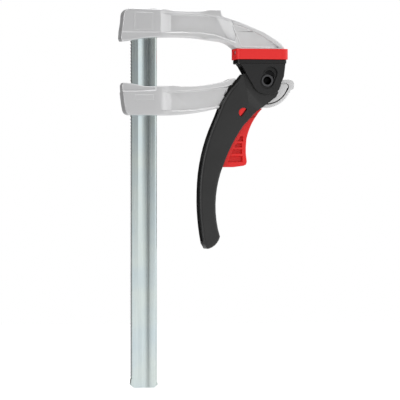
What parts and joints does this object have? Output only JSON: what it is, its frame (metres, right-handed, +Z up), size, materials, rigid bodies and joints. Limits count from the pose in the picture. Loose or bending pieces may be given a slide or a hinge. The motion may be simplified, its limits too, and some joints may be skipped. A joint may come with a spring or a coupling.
{
  "type": "lever clamp",
  "caption": "Lever clamp: a fixed arm and a sliding arm on a flat toothed rail; a ratchet lever with a cam presses a moving jaw against the fixed jaw.",
  "frame": {"origin": "middle of the fixed jaw's clamping face", "axes": "+Z up along the rail, away from the work, +X from the rail out to the jaws, Y across the clamp"},
  "size_m": [0.1339, 0.025, 0.286],
  "materials": {
    "zinc_plated_steel": "drawn and bright zinc plated",
    "cast_alloy": "pressure die cast, satin",
    "red_plastic": "moulded, satin",
    "black_plastic": "glass-filled, finely grained",
    "black_steel": "blackened",
    "hardened_steel": "ground",
    "spring_steel": "drawn wire"
  },
  "bodies": {
    "frame": {"rail": "zinc_plated_steel", "fixed_arm": "cast_alloy", "fixed_jaw_cap": "red_plastic"},
    "sliding_jaw": {"sliding_arm": "cast_alloy", "upper_grip_insert": "hardened_steel", "lower_grip_insert": "hardened_steel", "ratchet_sector": "cast_alloy", "sector_rivets": "hardened_steel", "main_pivot_rivet": "black_steel", "pivot_washers": "hardened_steel", "arm_spring_pin": "hardened_steel"},
    "lever": {"lever": "black_plastic", "cam_plates": "hardened_steel", "trigger_spring": "spring_steel"},
    "trigger": {"release_trigger": "red_plastic", "pawl": "hardened_steel", "pawl_pin": "hardened_steel"},
    "moving_jaw": {"pressure_head": "black_plastic", "head_pad": "black_plastic", "thrust_plate": "hardened_steel", "head_spring_pin": "hardened_steel", "head_return_spring": "spring_steel"}
  },
  "joints": [
    {"name": "jaw_slide", "type": "slide", "parent": "frame", "child": "sliding_jaw", "axis": [0, 0, -1], "range_m": [0, 0.2]},
    {"name": "lever_swing", "type": "hinge", "parent": "sliding_jaw", "child": "lever", "pos_m": [0.0042, 0, -0.0165], "axis": [0, -1, 0], "range_deg": [0, 75]},
    {"name": "head_lift", "type": "slide", "parent": "sliding_jaw", "child": "moving_jaw", "axis": [-0.4226, 0, -0.9063], "range_m": [0, 0.00452], "deforming": ["head_return_spring"]},
    {"name": "trigger_press", "type": "hinge", "parent": "lever", "child": "trigger", "pos_m": [-0.0139, 0, -0.0408], "axis": [0, 1, 0], "range_deg": [0, 8], "stiffness_Nm_per_rad": 0.3, "springref_deg": -5.73}
  ],
  "couplings": [
    {"joint": "head_lift", "follows": "lever_swing", "m_per_rad": 0.003455}
  ]
}
